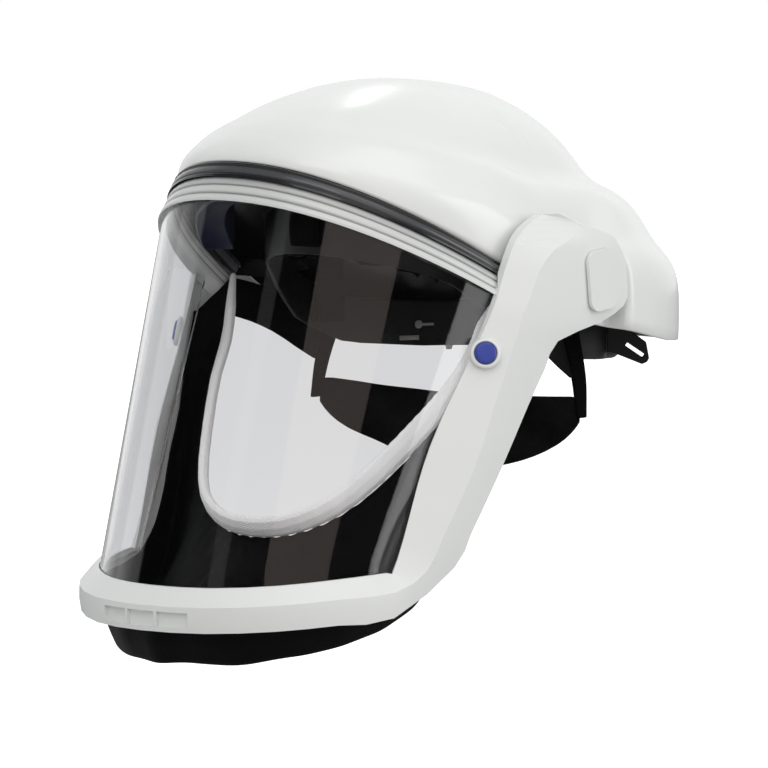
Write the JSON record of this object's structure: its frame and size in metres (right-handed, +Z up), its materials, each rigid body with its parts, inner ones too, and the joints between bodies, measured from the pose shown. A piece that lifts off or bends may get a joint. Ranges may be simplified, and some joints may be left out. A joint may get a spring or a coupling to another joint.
{
  "type": "powered respirator helmet",
  "caption": "White bump-cap respirator helmet with a clear flip-up visor in a white frame, a black cloth face seal and an inner head harness.",
  "frame": {"origin": "top of the wearer's head, under the middle of the crown straps, where the helmet sits", "axes": "+Z up, -Y the way the face looks, +X to the wearer's left"},
  "size_m": [0.242, 0.36, 0.2885],
  "materials": {
    "white_gloss": "glossy moulded plastic, white with a faint grey-green",
    "white_satin": "semi-gloss moulded plastic, white",
    "clear_visor": "clear sheet, polished",
    "dark_rubber": "dark grey rubber lip",
    "milky_strip": "translucent grey strip",
    "blue_plastic": "glossy blue plastic",
    "black_plastic": "fine-grained matt plastic, black",
    "dark_blue_plastic": "matt plastic, very dark blue",
    "black_cloth": "coated woven cloth, black",
    "pad_cloth": "soft brushed cloth over foam, black",
    "black_webbing": "ribbed webbing, black",
    "white_elastic": "gathered elastic binding, white"
  },
  "bodies": {
    "root": {"shell": "white_gloss", "visor_frame": "white_satin", "pivot_plate_left": "white_satin", "pivot_plate_right": "white_satin", "button_ring_left": "white_satin", "button_ring_right": "white_satin", "visor": "clear_visor", "brow_lip": "dark_rubber", "brow_strip": "milky_strip", "frame_button_left": "blue_plastic", "frame_button_right": "blue_plastic", "pivot_boss_left": "black_plastic", "pivot_boss_right": "black_plastic", "headband": "black_plastic", "nape_ratchet": "black_plastic", "harness_lug_left": "black_plastic", "harness_lug_right": "black_plastic", "harness_hanger_left": "black_plastic", "harness_hanger_right": "black_plastic", "air_duct": "black_plastic", "air_inlet": "black_plastic", "brow_duct": "dark_blue_plastic", "face_seal": "black_cloth", "neck_band": "black_cloth", "side_panel_left": "black_cloth", "side_panel_right": "black_cloth", "brow_pad": "pad_cloth", "crown_straps": "black_webbing", "seal_strap_left": "black_webbing", "seal_strap_right": "black_webbing", "face_seal_edging": "white_elastic"}
  },
  "joints": []
}
